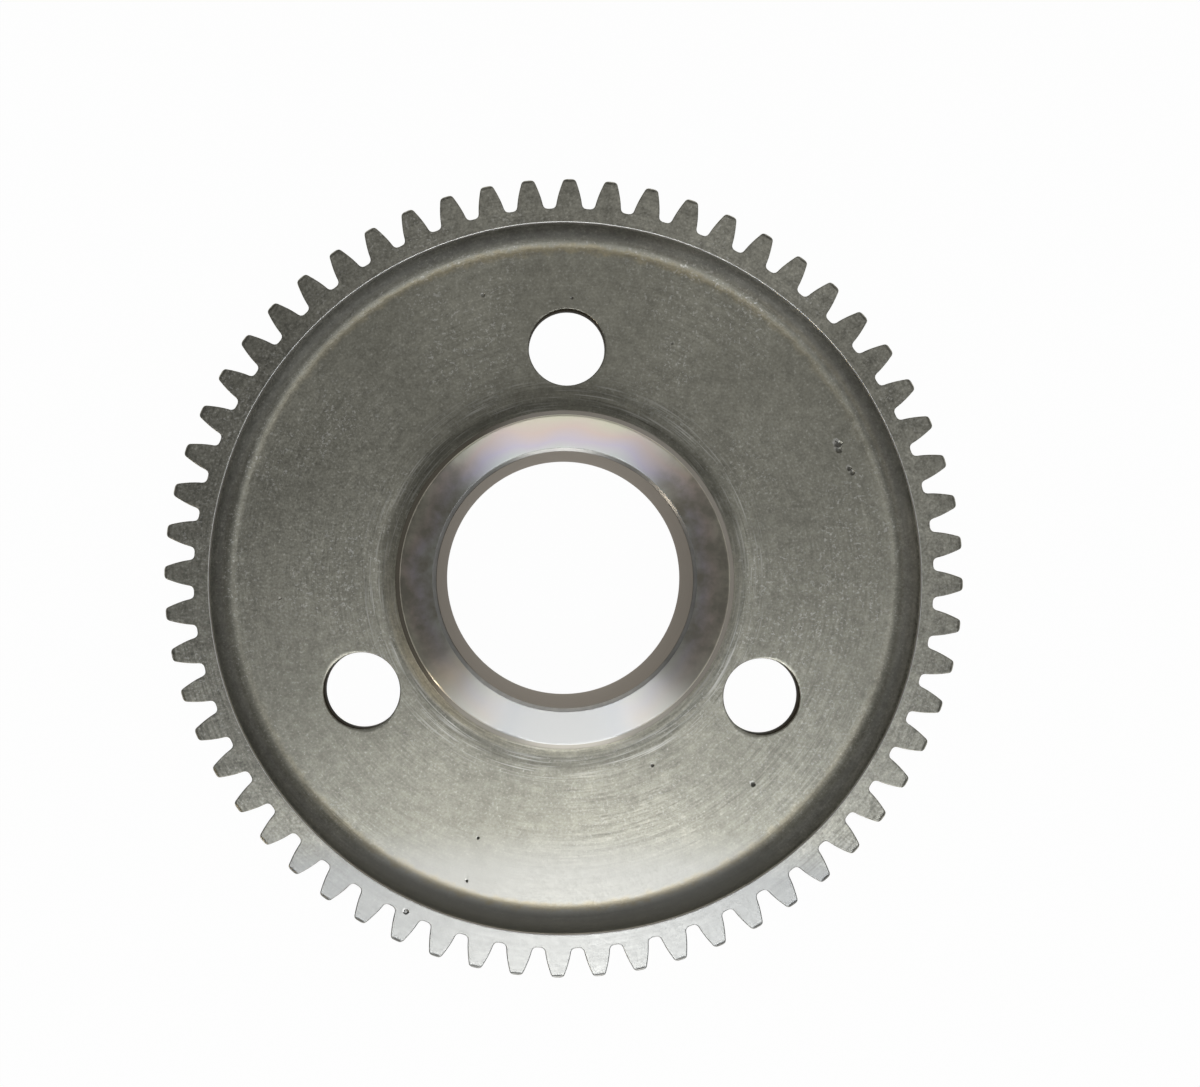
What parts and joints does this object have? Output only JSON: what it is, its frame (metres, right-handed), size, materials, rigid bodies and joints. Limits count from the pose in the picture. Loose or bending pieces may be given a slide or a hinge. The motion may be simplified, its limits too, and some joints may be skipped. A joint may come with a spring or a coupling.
{
  "type": "starter driven gear",
  "caption": "Spur gear for a starter drive: toothed rim, dished web with round lightening holes, and a plain bored boss that carries the one-way clutch.",
  "frame": {"origin": "centre of the back thrust face, on the gear axis", "axes": "+Z along the bore axis, from the back thrust face towards the boss end; +Y through one tooth and one lightening hole"},
  "size_m": [0.124, 0.124, 0.0285],
  "materials": {
    "gear_steel": "hardened steel, blasted grey on the web and rim, finely turned on the boss end, ground in the bore and on the boss"
  },
  "bodies": {
    "root": {"driven_gear": "gear_steel"}
  },
  "joints": []
}
